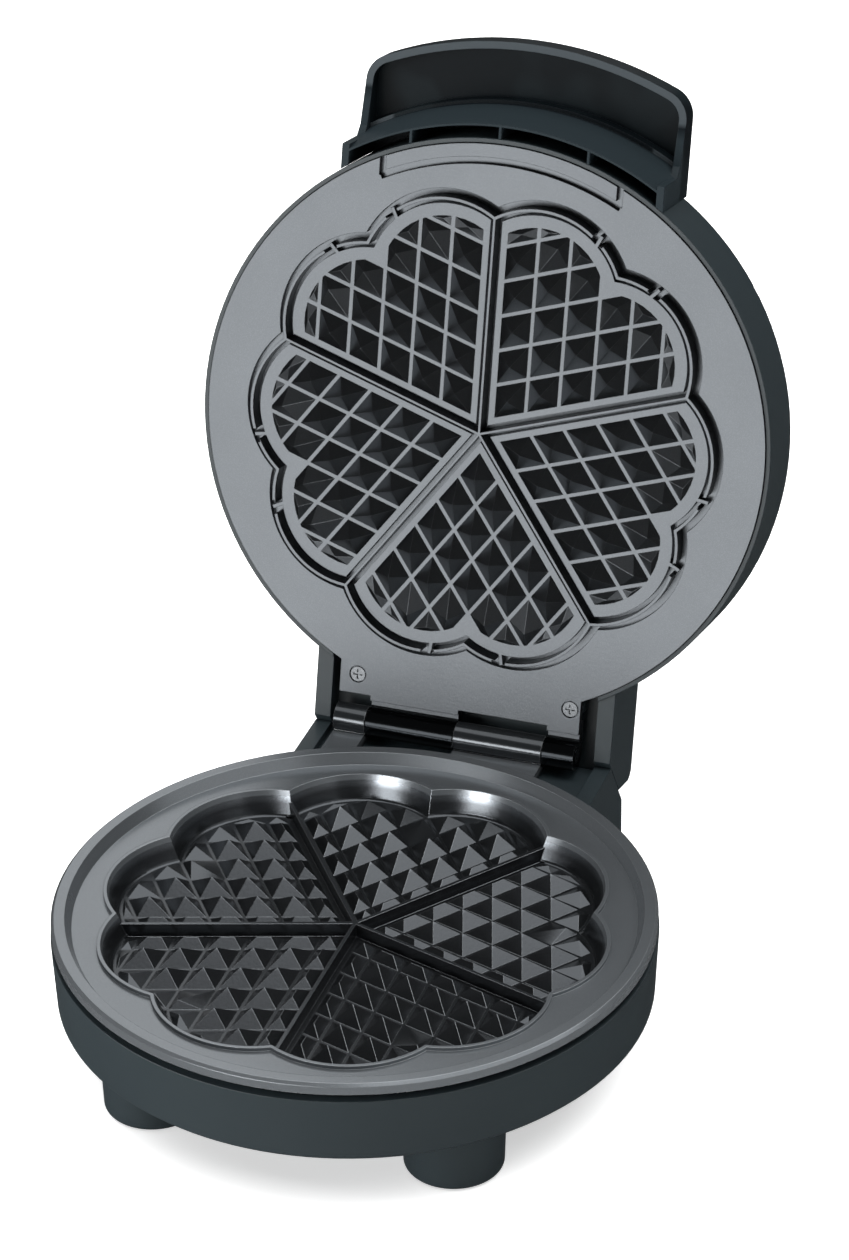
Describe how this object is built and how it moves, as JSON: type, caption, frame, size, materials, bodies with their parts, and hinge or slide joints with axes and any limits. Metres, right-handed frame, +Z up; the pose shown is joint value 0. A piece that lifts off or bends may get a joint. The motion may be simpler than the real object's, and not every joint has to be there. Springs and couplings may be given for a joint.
{
  "type": "waffle maker",
  "caption": "Round electric heart-waffle maker, open: hinged lid with handle, cast plates with heart grids, shallow base on feet",
  "frame": {"origin": "centre of the open appliance's footprint, on the surface its feet stand on", "axes": "+X along the hinge to the appliance's right as seen from the front, +Y from the front towards the hinge, +Z up"},
  "size_m": [0.204, 0.3, 0.2858],
  "materials": {
    "casing_plastic": "fine-grained satin moulding",
    "handle_plastic": "semi-gloss moulding",
    "lower_coating": "dark glossy non-stick coating on cast aluminium",
    "upper_coating": "satin grey non-stick coating on cast aluminium",
    "bright_steel": "bright zinc-plated",
    "heater_steel": "heat-tinted satin tube",
    "sheet_aluminium": "plain rolled sheet",
    "soft_rubber": "matt",
    "ceramic": "unglazed",
    "terminal_plastic": "satin",
    "inner_plastic": "satin",
    "red_lens": "clear-tinted gloss",
    "green_lens": "clear-tinted gloss"
  },
  "bodies": {
    "base": {"base_casing": "casing_plastic", "base_bottom_cover": "casing_plastic", "neck_bottom_cover": "casing_plastic", "front_foot_left": "casing_plastic", "front_foot_right": "casing_plastic", "front_foot_pad_left": "soft_rubber", "front_foot_pad_right": "soft_rubber", "rear_foot_pad_left": "soft_rubber", "rear_foot_pad_right": "soft_rubber", "lower_plate": "lower_coating", "lower_plate_screws": "bright_steel", "cover_screws": "bright_steel", "neck_cover_screws": "bright_steel", "foot_screws": "bright_steel", "hinge_pin": "bright_steel", "lower_heating_element": "heater_steel", "lower_heating_element_terminals": "ceramic", "lower_reflector": "sheet_aluminium", "thermostat": "bright_steel", "thermal_fuse": "sheet_aluminium", "terminal_block": "terminal_plastic", "cord_gland": "soft_rubber", "cord_clamp": "inner_plastic", "cord_clamp_screws": "bright_steel"},
    "lid": {"lid_casing": "casing_plastic", "handle": "handle_plastic", "handle_screws": "bright_steel", "upper_plate": "upper_coating", "tab_screws": "bright_steel", "upper_heating_element": "heater_steel", "upper_heating_element_terminals": "ceramic", "upper_reflector": "sheet_aluminium", "lamp_holder": "inner_plastic", "power_lamp_lens": "red_lens", "ready_lamp_lens": "green_lens"}
  },
  "joints": [
    {"name": "lid_hinge", "type": "hinge", "parent": "base", "child": "lid", "pos_m": [0, 0.06196, 0.05614], "axis": [1, 0, 0], "range_deg": [0, 104.06]}
  ]
}
